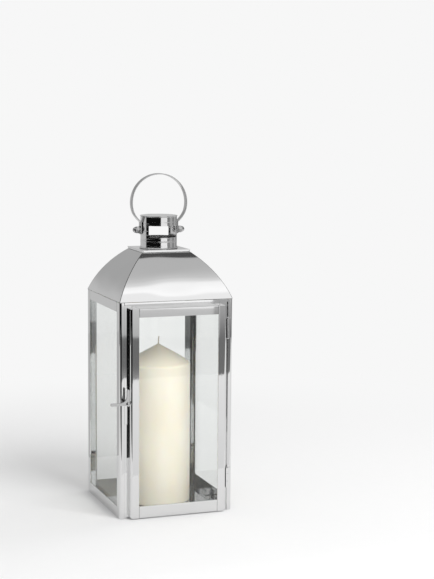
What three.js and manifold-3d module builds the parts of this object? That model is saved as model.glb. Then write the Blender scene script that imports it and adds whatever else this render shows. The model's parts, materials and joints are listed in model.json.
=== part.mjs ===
// A candle lantern in polished sheet steel and clear glass: a square body of folded posts and rails
// with three fixed panes and a hinged glass door, a curved four-sided roof with a vented chimney,
// a swinging ring handle, an L-shaped turn latch, and a pillar candle on the floor plate.
//
// Millimetres, +Z up. The origin is the middle of the base on the surface it stands on.
// The door faces -Y and +X is to the right of someone looking at the door.

import * as THREE from 'three';
import { mergeVertices } from 'three/addons/utils/BufferGeometryUtils.js';
import Module from 'manifold-3d';

const wasm = await Module();
wasm.setup();

// ---- Driving dimensions ----

const GAP = 0.3; // clearance between pieces that meet

// Body: a square frame of folded sheet.
const HALF = 90; // half of the body's outside width and depth
const MEMBER = 15; // visible width of a post or a header rail
const SHEET = 1.5; // thickness of the folded frame sheet
const EAVE_Z = 330; // where the roof starts
const BASE_RAIL_H = 17;
const FLOOR_T = 2;

// Front posts: a narrow nose, then a recessed face that the door closes against.
const NOSE_W = 7.5;
const RECESS = 3;
const RECESS_END = 70; // distance from the middle to where the recessed face ends
const HEADER_NOSE_H = 4.5;

// Roof, its cap plate and the chimney.
const ROOF_TOP_Z = 398.6;
const ROOF_TOP_HALF = 38.2;
const ROOF_BULGE = 6; // how far the curve stands out from the straight line between its ends
const ROOF_T = 1.2;
const ROOF_STEPS = 12;
const CAP_HALF = 38.6;
const CAP_Z = 402;
const CAP_T = 1.2;
const CAP_LIP = 3.1;
const CAP_CORNER_NOTCH = 1.8;
const FLUE_R = 25; // hole through the cap plate
const CHIMNEY_R = 28.3;
const CHIMNEY_T = 1.2;
const CHIMNEY_TOP_Z = 451;
const LID_R = 29.1;
const LID_T = 1.5;
const COLLAR_T = 1.7;
const COLLAR_H = 2.4;
const SPIGOT_H = 4; // ring under the lid
const VENT_HALF_W = 21.7;
const VENT_Z0 = 419.5;
const VENT_Z1 = 437.5;

// Ring handle, on two bolts through the chimney.
const PIVOT_Z = 430.5;
const RING_R = 45; // outer radius of the loop
const RING_Z = 472.5; // height of the loop's centre
const RING_T = 1.6;
const RING_W = 11; // width of the flat strip
const LUG_X = CHIMNEY_R + 0.6; // inner face of the strip's straight ends
const LUG_Z0 = 423.5;
const LUG_BEND_Z = 442.5;
const FLANK_START_DEG = -16; // where the flank leaves the round of the loop
const FLANK_PULL = 9; // how far the flank runs straight on from the loop
const FLANK_STEPS = 8;
const LOOP_STEPS = 26;
const BOLT_R = 2.9;
const BOLT_HOLE_R = BOLT_R + GAP;
const BOLT_HEAD_R = 5;
const BOLT_HEAD_H = 3.6;
const WASHER_R = 6.2;
const WASHER_T = 1;
const NUT_HEX_H = 4.6;
const NUT_HEX_R = 5.8; // across the corners; 10 across the flats
const NUT_DOME_R = 4.7;
const NUT_BORE_H = 6;
const NUT_TIP = 42;

// Door: an L-section frame round one pane, standing proud of the body.
const DOOR_X0 = -75.7;
const DOOR_X1 = 77.9;
const DOOR_Z0 = 1.6;
const DOOR_Z1 = 321.3;
const DOOR_FRONT_Y = -98.5;
const DOOR_BACK_Y = -87.4;
const STILE_W = 13.9;
const DOOR_TOP_RAIL_H = 13.3;
const DOOR_BOTTOM_RAIL_H = 18.2;
const DOOR_SHEET = 1.5;

// Panes and the bent tabs that hold them.
const GLASS_T = 2.5;
const PANE_HALF_W = 85.1;
const PANE_TOP_Z = 322.2;
const TAB_T = 1;
const TAB_HALF_W = 7;
const TOP_TAB_ARM = 6;
const BOTTOM_TAB_ARM = 8;
const DOOR_TAB_ARM = 7;

// Butt hinges between the door's right edge and the right front post.
const HINGE_X = 80.8;
const HINGE_Y = -92.9;
const HINGE_H = 30;
const HINGE_ZS = { upper: 285.5, lower: 52.8 };
const KNUCKLE_R = 2.6;
const PIN_R = 1.4;
const PIN_HEAD_R = 2.3;
const PIN_HEAD_H = 1.4;
const LEAF_T = 1.2;
const POST_LEAF_END_X = 87.5;
const DOOR_LEAF_W = 9;
const POST_KNUCKLE_H = 9;

// Turn latch on the left front post.
const LATCH_X = -79.6;
const LATCH_Z = 179;
const LATCH_PLATE_HALF_W = 2.5;
const LATCH_PLATE_Z0 = 145;
const LATCH_PLATE_Z1 = 201;
const LATCH_PLATE_T = 1;
const STUD_BOSS_R = 2.6;
const STUD_NECK_R = 1.6;
const STUD_HEAD_R = 3.3;
const STUD_HEAD_H = 2;
const LEVER_BACK_Y = -99.3;
const LEVER_T = 1.9;
const LEVER_HUB_R = 3.3;
const LEVER_ARM_HALF = 2.2;
const LEVER_NOSE_HALF = 2.2;
const LEVER_THUMB = 27.6; // pivot to the tip of the thumb arm
const LEVER_NOSE = 22; // pivot to the tip of the nose arm
const LEVER_FILLET = 10;

// Candle.
const CANDLE_R = 50;
const CANDLE_SHOULDER_Z = 224;
const CANDLE_APEX_Z = 251;
const CANDLE_EDGE = 3;
const CANDLE_SWELL = 0.9; // below 1 the cone stands out a little
const WICK_DEPTH = 8;
const WICK_R = 1;
const WICK_TOP_Z = 263;

// ---- Materials ----

const steel = () => new THREE.MeshStandardMaterial({ color: 0xc4c4c2, roughness: 0.08, metalness: 1 });
const glass = () => new THREE.MeshStandardMaterial({
  color: 0xeef3f0, roughness: 0.02, metalness: 0, transparent: true, opacity: 0.2,
});
const wax = () => new THREE.MeshStandardMaterial({ color: 0xf1ead3, roughness: 0.55, metalness: 0 });
const cotton = () => new THREE.MeshStandardMaterial({ color: 0xb9b4a6, roughness: 0.9, metalness: 0 });

// ---- Shape helpers ----

// One closed skin: shared corners become one vertex, and triangles that collapsed are dropped.
function welded(geometry) {
  const bare = geometry.clone();
  bare.deleteAttribute('normal');
  bare.deleteAttribute('uv');
  const merged = mergeVertices(bare, 1e-4);
  const index = merged.index.array;
  const kept = [];
  for (let i = 0; i < index.length; i += 3) {
    const [a, b, c] = index.slice(i, i + 3);
    if (a !== b && b !== c && c !== a) kept.push(a, b, c);
  }
  merged.setIndex(kept);
  return merged;
}

function toSolid(geometry) {
  const skin = welded(geometry);
  return new wasm.Manifold(new wasm.Mesh({
    numProp: 3,
    vertProperties: Float32Array.from(skin.attributes.position.array),
    triVerts: Uint32Array.from(skin.index.array),
  }));
}

function fromSolid(solid) {
  const { vertProperties, triVerts } = solid.getMesh();
  const geometry = new THREE.BufferGeometry();
  geometry.setAttribute('position', new THREE.BufferAttribute(vertProperties, 3));
  geometry.setIndex(new THREE.BufferAttribute(triVerts, 1));
  geometry.computeVertexNormals();
  return geometry;
}

const join = (...pieces) => fromSolid(pieces.map(toSolid).reduce((sum, piece) => sum.add(piece)));
const cut = (base, ...tools) => fromSolid(
  tools.reduce((rest, tool) => rest.subtract(toSolid(tool)), toSolid(base)),
);
const common = (a, b) => fromSolid(toSolid(a).intersect(toSolid(b)));

function box(x0, x1, y0, y1, z0, z1) {
  const geometry = new THREE.BoxGeometry(x1 - x0, y1 - y0, z1 - z0);
  return geometry.translate((x0 + x1) / 2, (y0 + y1) / 2, (z0 + z1) / 2);
}

const outline = (points) => new THREE.Shape(points.map(([u, v]) => new THREE.Vector2(u, v)));

function extruded(shape, depth) {
  return new THREE.ExtrudeGeometry(shape, { depth, bevelEnabled: false, curveSegments: 16 });
}

// An outline in the XY plane, standing from z0 to z1.
const prismZ = (shape, z0, z1) => extruded(shape, z1 - z0).translate(0, 0, z0);

// An outline whose two coordinates are Y and Z, running from x0 to x1.
function prismX(shape, x0, x1) {
  const turn = new THREE.Matrix4().set(0, 0, 1, x0, 1, 0, 0, 0, 0, 1, 0, 0, 0, 0, 0, 1);
  return extruded(shape, x1 - x0).applyMatrix4(turn);
}

// An outline whose two coordinates are X and Z, running from y0 to y1.
function prismY(shape, y0, y1) {
  const turn = new THREE.Matrix4().set(1, 0, 0, 0, 0, 0, -1, y1, 0, 1, 0, 0, 0, 0, 0, 1);
  return extruded(shape, y1 - y0).applyMatrix4(turn);
}

// A profile of [radius, distance along the axis], turned round X, Y or Z. A leading minus sign
// points the axis the other way.
const TURNS = {
  z: (geometry) => geometry.rotateX(Math.PI / 2),
  x: (geometry) => geometry.rotateZ(-Math.PI / 2),
  '-x': (geometry) => geometry.rotateZ(Math.PI / 2),
  '-y': (geometry) => geometry.rotateX(Math.PI),
};

function turned(profile, axis, segments = 32) {
  const points = profile.map(([radius, along]) => new THREE.Vector2(radius, along));
  return TURNS[axis](new THREE.LatheGeometry(points, segments));
}

const rod = (radius, from, to, axis, segments) => turned(
  [[0, from], [radius, from], [radius, to], [0, to]], axis, segments,
);

const ring = (inner, outer, from, to, axis, segments) => turned(
  [[inner, from], [outer, from], [outer, to], [inner, to], [inner, from]], axis, segments,
);

// ---- Frame ----

// The front post's section, for the left side (-1) or the right side (+1).
function frontPost(side) {
  const nose = HALF - NOSE_W;
  const section = [
    [HALF, -HALF], [nose, -HALF], [nose, -HALF + RECESS], [RECESS_END, -HALF + RECESS],
    [RECESS_END, -HALF + RECESS + SHEET], [nose + SHEET, -HALF + RECESS + SHEET],
    [nose + SHEET, -HALF + SHEET], [HALF - SHEET, -HALF + SHEET],
    [HALF - SHEET, -HALF + MEMBER], [HALF, -HALF + MEMBER],
  ];
  return prismZ(outline(section.map(([x, y]) => [side * x, y])), 0, EAVE_Z - GAP);
}

function backPost(side) {
  const section = [
    [HALF, HALF], [HALF, HALF - MEMBER], [HALF - SHEET, HALF - MEMBER],
    [HALF - SHEET, HALF - SHEET], [HALF - MEMBER, HALF - SHEET], [HALF - MEMBER, HALF],
  ];
  return prismZ(outline(section.map(([x, y]) => [side * x, y])), 0, EAVE_Z - GAP);
}

// Rails of the three closed sides, drawn on the side that faces -Y.
function sideRail(z0, z1) {
  const reach = HALF - MEMBER - GAP;
  return box(-reach, reach, -HALF, -HALF + SHEET, z0, z1);
}

function frontHeader() {
  const reach = RECESS_END - GAP;
  const noseReach = HALF - NOSE_W - GAP;
  const faceY = -HALF + RECESS;
  const noseZ0 = EAVE_Z - HEADER_NOSE_H;
  const topZ = EAVE_Z - GAP;
  const face = box(-reach, reach, faceY, faceY + SHEET, EAVE_Z - MEMBER, topZ);
  const nose = box(-noseReach, noseReach, -HALF, faceY - GAP, noseZ0, topZ);
  const web = box(-reach, reach, faceY - 1, faceY + 1, noseZ0, topZ);
  return join(face, nose, web);
}

function frontBaseRail() {
  const reach = RECESS_END - GAP;
  const faceY = -HALF + RECESS;
  return box(-reach, reach, faceY, faceY + SHEET, 0, BASE_RAIL_H);
}

function floorPlate() {
  const inside = HALF - SHEET - GAP;
  return box(-inside, inside, -HALF + RECESS + SHEET + GAP, inside, 0, FLOOR_T);
}

// ---- Roof and chimney ----

// The curve of the roof as [distance from the middle, height], from the eave to the cap plate.
function roofCurve() {
  const eave = new THREE.Vector2(HALF, EAVE_Z);
  const top = new THREE.Vector2(ROOF_TOP_HALF, ROOF_TOP_Z);
  const halfChord = eave.distanceTo(top) / 2;
  const radius = (halfChord ** 2 + ROOF_BULGE ** 2) / (2 * ROOF_BULGE);
  const inward = new THREE.Vector2(eave.y - top.y, top.x - eave.x).normalize();
  const centre = eave.clone().add(top).multiplyScalar(0.5).addScaledVector(inward, radius - ROOF_BULGE);
  const start = eave.clone().sub(centre).angle();
  const sweep = 2 * Math.asin(halfChord / radius);
  return Array.from({ length: ROOF_STEPS + 1 }, (_, i) => {
    const angle = start + sweep * (i / ROOF_STEPS);
    return {
      half: centre.x + radius * Math.cos(angle),
      z: centre.y + radius * Math.sin(angle),
      wall: ROOF_T / Math.cos(angle), // thickness measured level
    };
  });
}

// One curved roof sheet, facing -Y, mitred along the hips.
function roofPanel() {
  const mitre = GAP / Math.SQRT2;
  const position = [];
  for (const { half, z, wall } of roofCurve()) {
    const inner = half - wall;
    position.push(-(half - mitre), -half, z, half - mitre, -half, z);
    position.push(inner - mitre, -inner, z, -(inner - mitre), -inner, z);
  }
  const index = [0, 3, 2, 0, 2, 1];
  for (let row = 0; row < ROOF_STEPS; row += 1) {
    const base = 4 * row;
    for (let k = 0; k < 4; k += 1) {
      const a = base + k;
      const b = base + ((k + 1) % 4);
      index.push(a, b, b + 4, a, b + 4, a + 4);
    }
  }
  const last = 4 * ROOF_STEPS;
  index.push(last, last + 1, last + 2, last, last + 2, last + 3);
  const geometry = new THREE.BufferGeometry();
  geometry.setAttribute('position', new THREE.Float32BufferAttribute(position, 3));
  geometry.setIndex(index);
  geometry.computeVertexNormals();
  return geometry;
}

// A square pan turned down round its edge, open at the corners, with the flue hole through it.
function roofCapPlate() {
  const block = box(-CAP_HALF, CAP_HALF, -CAP_HALF, CAP_HALF, CAP_Z - CAP_LIP, CAP_Z);
  const inside = CAP_HALF - CAP_T;
  const hollow = box(-inside, inside, -inside, inside, CAP_Z - CAP_LIP - 1, CAP_Z - CAP_T);
  const flue = rod(FLUE_R, CAP_Z - 10, CAP_Z + 10, 'z', 64);
  const near = CAP_HALF - CAP_CORNER_NOTCH;
  const far = CAP_HALF + 1;
  const notches = [[-1, -1], [1, -1], [1, 1], [-1, 1]].map(([sx, sy]) => box(
    Math.min(sx * near, sx * far), Math.max(sx * near, sx * far),
    Math.min(sy * near, sy * far), Math.max(sy * near, sy * far),
    CAP_Z - CAP_LIP - 1, CAP_Z - CAP_T,
  ));
  return cut(block, hollow, flue, ...notches);
}

function chimneyTube() {
  const tube = ring(CHIMNEY_R - CHIMNEY_T, CHIMNEY_R, CAP_Z + GAP, CHIMNEY_TOP_Z, 'z', 72);
  const vents = box(-VENT_HALF_W, VENT_HALF_W, -HALF, HALF, VENT_Z0, VENT_Z1);
  const boltHoles = rod(BOLT_HOLE_R, -HALF, HALF, 'x', 24).translate(0, 0, PIVOT_Z);
  return cut(tube, vents, boltHoles);
}

function chimneyCollar() {
  const inner = CHIMNEY_R + GAP;
  const z0 = CAP_Z + GAP;
  const outer = inner + COLLAR_T;
  const profile = [
    [inner, z0], [outer, z0], [outer, z0 + COLLAR_H * 0.4], [inner + COLLAR_T * 0.5, z0 + COLLAR_H * 0.9],
    [inner, z0 + COLLAR_H],
  ];
  return turned([...profile, profile[0]], 'z', 72);
}

// A flat lid with a ring under it that centres it in the tube.
function chimneyLid() {
  const z0 = CHIMNEY_TOP_Z + GAP;
  const spigot = CHIMNEY_R - CHIMNEY_T - GAP;
  const edge = 0.5;
  return turned([
    [0, z0], [spigot - CHIMNEY_T, z0], [spigot - CHIMNEY_T, z0 - SPIGOT_H],
    [spigot, z0 - SPIGOT_H], [spigot, z0], [LID_R - edge, z0], [LID_R, z0 + edge],
    [LID_R, z0 + LID_T - edge], [LID_R - edge, z0 + LID_T], [0, z0 + LID_T],
  ], 'z', 72);
}

// ---- Ring handle ----

// The outer line of the right half of the strip as [x, z], from the lug's end up to the crown.
function handleLine() {
  const lugX = LUG_X + RING_T;
  const leave = THREE.MathUtils.degToRad(FLANK_START_DEG);
  const from = new THREE.Vector2(RING_R * Math.cos(leave), RING_Z + RING_R * Math.sin(leave));
  const pull = new THREE.Vector2(Math.sin(leave), -Math.cos(leave)).multiplyScalar(FLANK_PULL);
  const bend = new THREE.Vector2(lugX, LUG_BEND_Z);
  const flank = new THREE.QuadraticBezierCurve(bend, from.clone().add(pull), from);
  const loop = new THREE.EllipseCurve(0, RING_Z, RING_R, RING_R, leave, Math.PI / 2);
  return [
    new THREE.Vector2(lugX, LUG_Z0), ...flank.getPoints(FLANK_STEPS), ...loop.getPoints(LOOP_STEPS).slice(1),
  ];
}

// A band of even thickness inside a line of points.
function bandOutline(line, thickness) {
  const inner = line.map((point, i) => {
    const before = line[Math.max(i - 1, 0)];
    const after = line[Math.min(i + 1, line.length - 1)];
    const along = after.clone().sub(before).normalize();
    return point.clone().add(new THREE.Vector2(-along.y, along.x).multiplyScalar(thickness));
  });
  return new THREE.Shape([...line, ...inner.reverse()]);
}

function handleRing() {
  const right = handleLine();
  const left = right.slice(0, -1).reverse().map((point) => new THREE.Vector2(-point.x, point.y));
  const band = prismY(bandOutline([...right, ...left], RING_T), -RING_W / 2, RING_W / 2);
  const round = RING_W / 2;
  const reach = round + 0.01; // a hair past the strip, so that only the lugs are trimmed
  const side = new THREE.Shape();
  side.absarc(0, LUG_Z0 + round, reach, Math.PI, 2 * Math.PI);
  side.lineTo(reach, RING_Z + RING_R + 1);
  side.lineTo(-reach, RING_Z + RING_R + 1);
  const holes = rod(BOLT_HOLE_R, -HALF, HALF, 'x', 24).translate(0, 0, PIVOT_Z);
  return cut(common(band, prismX(side, -HALF, HALF)), holes);
}

const WASHER_X0 = LUG_X + RING_T + GAP;
const NUT_X0 = WASHER_X0 + WASHER_T + GAP;

function handleBolt(axis) {
  const seat = CHIMNEY_R - CHIMNEY_T - 3 * GAP;
  const start = seat - BOLT_HEAD_H;
  const end = NUT_X0 + NUT_BORE_H - 0.5;
  const bevel = 0.7;
  const profile = [
    [0, start], [BOLT_HEAD_R - bevel, start], [BOLT_HEAD_R, start + bevel], [BOLT_HEAD_R, seat],
    [BOLT_R, seat], [BOLT_R, end - bevel], [BOLT_R - bevel, end], [0, end],
  ];
  return turned(profile, axis, 24);
}

const handleWasher = (axis) => ring(BOLT_HOLE_R, WASHER_R, WASHER_X0, WASHER_X0 + WASHER_T, axis, 32);

function acornNut(axis) {
  const hex = turned([
    [0, NUT_X0], [NUT_HEX_R, NUT_X0], [NUT_HEX_R, NUT_X0 + NUT_HEX_H], [0, NUT_X0 + NUT_HEX_H],
  ], axis, 6);
  const base = NUT_X0 + NUT_HEX_H - 0.5;
  const steps = 8;
  const dome = [[0, base - 1], [NUT_DOME_R, base - 1]];
  for (let i = 0; i < steps; i += 1) {
    const angle = (i / steps) * (Math.PI / 2);
    dome.push([NUT_DOME_R * Math.cos(angle), base + (NUT_TIP - base) * Math.sin(angle)]);
  }
  dome.push([0, NUT_TIP]);
  return cut(join(hex, turned(dome, axis, 32)), rod(BOLT_HOLE_R, NUT_X0 - 1, NUT_X0 + NUT_BORE_H, axis, 24));
}

// ---- Glass and the tabs that hold it, drawn on the side that faces -Y ----

const PANE_OUT_Y = -HALF + SHEET + GAP;
const PANE_IN_Y = PANE_OUT_Y + GLASS_T;

const sidePane = () => box(-PANE_HALF_W, PANE_HALF_W, PANE_OUT_Y, PANE_IN_Y, FLOOR_T + GAP, PANE_TOP_Z);

// Fixed to the header rail above the pane and folded down over its inner face.
function topTab() {
  const bridge = PANE_TOP_Z + GAP;
  const finger = PANE_IN_Y + GAP;
  return prismX(outline([
    [PANE_OUT_Y, bridge], [finger, bridge], [finger, bridge - TOP_TAB_ARM],
    [finger + TAB_T, bridge - TOP_TAB_ARM], [finger + TAB_T, bridge + TAB_T],
    [PANE_OUT_Y + TAB_T, bridge + TAB_T], [PANE_OUT_Y + TAB_T, bridge + TOP_TAB_ARM],
    [PANE_OUT_Y, bridge + TOP_TAB_ARM],
  ]), -TAB_HALF_W, TAB_HALF_W);
}

// Fixed to the floor plate and folded up against the pane's inner face.
function bottomTab() {
  const finger = PANE_IN_Y + GAP;
  const foot = FLOOR_T + GAP;
  return prismX(outline([
    [finger, foot], [finger + BOTTOM_TAB_ARM, foot], [finger + BOTTOM_TAB_ARM, foot + TAB_T],
    [finger + TAB_T, foot + TAB_T], [finger + TAB_T, foot + BOTTOM_TAB_ARM], [finger, foot + BOTTOM_TAB_ARM],
  ]), -TAB_HALF_W, TAB_HALF_W);
}

// ---- Door ----

// A stile: the front flange and the edge flange, closed at both ends. side is -1 left, +1 right.
function doorStile(side) {
  const edge = side < 0 ? DOOR_X0 : DOOR_X1;
  const span = (from, to) => [edge - side * from, edge - side * to].sort((a, b) => a - b);
  const block = box(...span(0, STILE_W), DOOR_FRONT_Y, DOOR_BACK_Y, DOOR_Z0, DOOR_Z1);
  const pocket = box(
    ...span(DOOR_SHEET, STILE_W + 1), DOOR_FRONT_Y + DOOR_SHEET, DOOR_BACK_Y + 1,
    DOOR_Z0 + DOOR_SHEET, DOOR_Z1 - DOOR_SHEET,
  );
  return cut(block, pocket);
}

// A rail between the stiles: the front flange and the outer edge flange.
function doorRail(edgeZ, height, inward) {
  const section = [
    [DOOR_FRONT_Y, 0], [DOOR_FRONT_Y, height], [DOOR_FRONT_Y + DOOR_SHEET, height],
    [DOOR_FRONT_Y + DOOR_SHEET, DOOR_SHEET], [DOOR_BACK_Y, DOOR_SHEET], [DOOR_BACK_Y, 0],
  ].map(([y, depth]) => [y, edgeZ + inward * depth]);
  return prismX(outline(section), DOOR_X0 + STILE_W + GAP, DOOR_X1 - STILE_W - GAP);
}

const DOOR_PANE_OUT_Y = DOOR_FRONT_Y + DOOR_SHEET + GAP;
const DOOR_PANE_IN_Y = DOOR_PANE_OUT_Y + GLASS_T;

function doorPane() {
  const rim = DOOR_SHEET + GAP;
  return box(DOOR_X0 + rim, DOOR_X1 - rim, DOOR_PANE_OUT_Y, DOOR_PANE_IN_Y, DOOR_Z0 + rim, DOOR_Z1 - rim);
}

function doorTab(edgeZ, inward) {
  const finger = DOOR_PANE_IN_Y + GAP;
  const foot = DOOR_SHEET + GAP;
  const heel = DOOR_BACK_Y - 2 * GAP;
  const section = [
    [finger, foot], [heel, foot], [heel, foot + TAB_T],
    [finger + TAB_T, foot + TAB_T], [finger + TAB_T, foot + DOOR_TAB_ARM], [finger, foot + DOOR_TAB_ARM],
  ].map(([y, depth]) => [y, edgeZ + inward * depth]);
  const middle = (DOOR_X0 + DOOR_X1) / 2;
  return prismX(outline(section), middle - TAB_HALF_W, middle + TAB_HALF_W);
}

// ---- Hinges, drawn about their own middle height ----

const atPin = (geometry) => geometry.translate(HINGE_X, HINGE_Y, 0);
const barrel = (radius, z0, z1) => atPin(rod(radius, z0, z1, 'z', 24));
const HINGE_HALF = HINGE_H / 2;
const DOOR_KNUCKLE_HALF = HINGE_HALF - POST_KNUCKLE_H - GAP;

function postLeaf() {
  const backY = HINGE_Y + KNUCKLE_R;
  const plateX0 = HINGE_X + KNUCKLE_R + GAP;
  const plate = box(plateX0, POST_LEAF_END_X, backY - LEAF_T, backY, -HINGE_HALF, HINGE_HALF);
  const knuckles = [[-HINGE_HALF, -HINGE_HALF + POST_KNUCKLE_H], [HINGE_HALF - POST_KNUCKLE_H, HINGE_HALF]];
  const parts = knuckles.flatMap(([z0, z1]) => [
    barrel(KNUCKLE_R, z0, z1),
    box(HINGE_X, plateX0 + 1, backY - LEAF_T, backY, z0, z1),
  ]);
  return cut(join(plate, ...parts), barrel(PIN_R + GAP, -HINGE_H, HINGE_H));
}

function doorLeaf() {
  const plateX0 = DOOR_X1 + GAP;
  const frontY = HINGE_Y - DOOR_LEAF_W / 2;
  const plate = box(plateX0, plateX0 + LEAF_T, frontY, frontY + DOOR_LEAF_W, -HINGE_HALF, HINGE_HALF);
  const room = KNUCKLE_R + GAP;
  const spaces = [
    barrel(room, -HINGE_H, -DOOR_KNUCKLE_HALF),
    barrel(room, DOOR_KNUCKLE_HALF, HINGE_H),
  ];
  const knuckle = barrel(KNUCKLE_R, -DOOR_KNUCKLE_HALF, DOOR_KNUCKLE_HALF);
  return cut(join(plate, knuckle), ...spaces, barrel(PIN_R + GAP, -HINGE_H, HINGE_H));
}

function hingePin() {
  const end = HINGE_HALF + GAP;
  const tip = end + PIN_HEAD_H;
  const bevel = 0.7;
  const upper = [
    [PIN_R, end], [PIN_HEAD_R, end], [PIN_HEAD_R, tip - bevel], [PIN_HEAD_R - bevel, tip], [0, tip],
  ];
  const lower = upper.map(([radius, z]) => [radius, -z]).reverse();
  return atPin(turned([...lower, ...upper], 'z', 24));
}

// ---- Latch ----

const PLATE_BACK_Y = -HALF + RECESS - GAP;
const PLATE_FRONT_Y = PLATE_BACK_Y - LATCH_PLATE_T;

function latchPlate() {
  const r = LATCH_PLATE_HALF_W;
  const shape = new THREE.Shape();
  shape.absarc(LATCH_X, LATCH_PLATE_Z1 - r, r, 0, Math.PI);
  shape.absarc(LATCH_X, LATCH_PLATE_Z0 + r, r, Math.PI, 2 * Math.PI);
  return prismY(shape, PLATE_FRONT_Y, PLATE_BACK_Y);
}

// The riveted post that the lever turns on: boss, neck and domed head.
function latchStud() {
  const foot = -PLATE_FRONT_Y + GAP;
  const shoulder = -LEVER_BACK_Y - GAP;
  const seat = -LEVER_BACK_Y + LEVER_T + GAP;
  const tip = -LEVER_BACK_Y + LEVER_T + STUD_HEAD_H;
  const profile = [
    [0, foot], [STUD_BOSS_R, foot], [STUD_BOSS_R, shoulder], [STUD_NECK_R, shoulder], [STUD_NECK_R, seat],
    [STUD_HEAD_R, seat], [STUD_HEAD_R, tip - 1.2],
    [STUD_HEAD_R * 0.8, tip - 0.5], [STUD_HEAD_R * 0.4, tip - 0.1],
    [0, tip],
  ];
  return turned(profile, '-y', 24).translate(LATCH_X, 0, LATCH_Z);
}

// Thumb arm to the left, nose arm up, with a hollow curve between them.
function latchLever() {
  const arm = LEVER_ARM_HALF;
  const nose = LEVER_NOSE_HALF;
  const shape = new THREE.Shape();
  shape.absarc(-LEVER_THUMB + arm, 0, arm, Math.PI / 2, 1.5 * Math.PI);
  shape.lineTo(-1, -arm);
  shape.absarc(0, 0, LEVER_HUB_R, -Math.PI / 2, 0);
  shape.lineTo(nose, LEVER_HUB_R);
  shape.absarc(0, LEVER_NOSE - nose, nose, 0, Math.PI);
  shape.absarc(-nose - LEVER_FILLET, arm + LEVER_FILLET, LEVER_FILLET, 0, -Math.PI / 2, true);
  const blade = prismY(shape, LEVER_BACK_Y - LEVER_T, LEVER_BACK_Y);
  const bore = rod(STUD_NECK_R + GAP, -LEVER_BACK_Y - 1, -LEVER_BACK_Y + LEVER_T + 1, '-y', 24);
  return cut(blade, bore).translate(LATCH_X, 0, LATCH_Z);
}

// ---- Candle ----

function candle() {
  const wickHole = WICK_R + GAP;
  const bottom = FLOOR_T + GAP;
  const profile = [
    [0, bottom], [CANDLE_R - 1, bottom], [CANDLE_R, bottom + 1], [CANDLE_R, CANDLE_SHOULDER_Z - CANDLE_EDGE],
  ];
  const rise = CANDLE_APEX_Z - CANDLE_SHOULDER_Z;
  const steps = 8;
  for (let i = 0; i <= steps; i += 1) {
    const inward = i / steps;
    const radius = THREE.MathUtils.lerp(CANDLE_R - CANDLE_EDGE * 0.4, wickHole, inward);
    profile.push([radius, CANDLE_SHOULDER_Z + rise * inward ** CANDLE_SWELL]);
  }
  profile.push([wickHole, CANDLE_APEX_Z - WICK_DEPTH], [0, CANDLE_APEX_Z - WICK_DEPTH]);
  return turned(profile, 'z', 64);
}

function wick() {
  const foot = CANDLE_APEX_Z - WICK_DEPTH + 1;
  return turned([
    [0, foot], [WICK_R, foot], [WICK_R, WICK_TOP_Z - 0.6], [WICK_R * 0.5, WICK_TOP_Z], [0, WICK_TOP_Z],
  ], 'z', 12);
}

// ---- Assembly ----

const lantern = new THREE.Group();

function add(group, name, geometry, material, place = {}) {
  const mesh = new THREE.Mesh(welded(geometry), material);
  mesh.name = name;
  mesh.position.z = place.z ?? 0;
  mesh.rotation.z = place.turn ?? 0;
  group.add(mesh);
}

const QUARTER = Math.PI / 2;
const FACES = { front: 0, right: QUARTER, back: 2 * QUARTER, left: -QUARTER };

function buildBody() {
  const body = new THREE.Group();
  add(body, 'floor_plate', floorPlate(), steel());
  for (const [name, side] of [['left', -1], ['right', 1]]) {
    add(body, `post_front_${name}`, frontPost(side), steel());
    add(body, `post_back_${name}`, backPost(side), steel());
  }
  add(body, 'base_rail_front', frontBaseRail(), steel());
  add(body, 'header_rail_front', frontHeader(), steel());
  for (const [name, turn] of Object.entries(FACES)) {
    add(body, `roof_panel_${name}`, roofPanel(), steel(), { turn });
    if (name === 'front') continue;
    add(body, `base_rail_${name}`, sideRail(0, BASE_RAIL_H), steel(), { turn });
    add(body, `header_rail_${name}`, sideRail(EAVE_Z - MEMBER, EAVE_Z - GAP), steel(), { turn });
    add(body, `glass_${name}`, sidePane(), glass(), { turn });
    add(body, `glass_tab_top_${name}`, topTab(), steel(), { turn });
    add(body, `glass_tab_bottom_${name}`, bottomTab(), steel(), { turn });
  }
  add(body, 'roof_cap_plate', roofCapPlate(), steel());
  add(body, 'chimney_collar', chimneyCollar(), steel());
  add(body, 'chimney_tube', chimneyTube(), steel());
  add(body, 'chimney_lid', chimneyLid(), steel());
  add(body, 'candle', candle(), wax());
  add(body, 'wick', wick(), cotton());
  return body;
}

function buildDoor() {
  const door = new THREE.Group();
  add(door, 'door_stile_left', doorStile(-1), steel());
  add(door, 'door_stile_right', doorStile(1), steel());
  add(door, 'door_rail_top', doorRail(DOOR_Z1, DOOR_TOP_RAIL_H, -1), steel());
  add(door, 'door_rail_bottom', doorRail(DOOR_Z0, DOOR_BOTTOM_RAIL_H, 1), steel());
  add(door, 'door_glass', doorPane(), glass());
  add(door, 'door_glass_tab_top', doorTab(DOOR_Z1, -1), steel());
  add(door, 'door_glass_tab_bottom', doorTab(DOOR_Z0, 1), steel());
  return door;
}

function buildHinges() {
  const hinges = new THREE.Group();
  for (const [name, z] of Object.entries(HINGE_ZS)) {
    add(hinges, `hinge_post_leaf_${name}`, postLeaf(), steel(), { z });
    add(hinges, `hinge_door_leaf_${name}`, doorLeaf(), steel(), { z });
    add(hinges, `hinge_pin_${name}`, hingePin(), steel(), { z });
  }
  return hinges;
}

function buildHandle() {
  const handle = new THREE.Group();
  add(handle, 'handle_ring', handleRing(), steel());
  for (const [name, axis] of [['left', '-x'], ['right', 'x']]) {
    add(handle, `handle_bolt_${name}`, handleBolt(axis), steel(), { z: PIVOT_Z });
    add(handle, `handle_washer_${name}`, handleWasher(axis), steel(), { z: PIVOT_Z });
    add(handle, `handle_nut_${name}`, acornNut(axis), steel(), { z: PIVOT_Z });
  }
  return handle;
}

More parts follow.
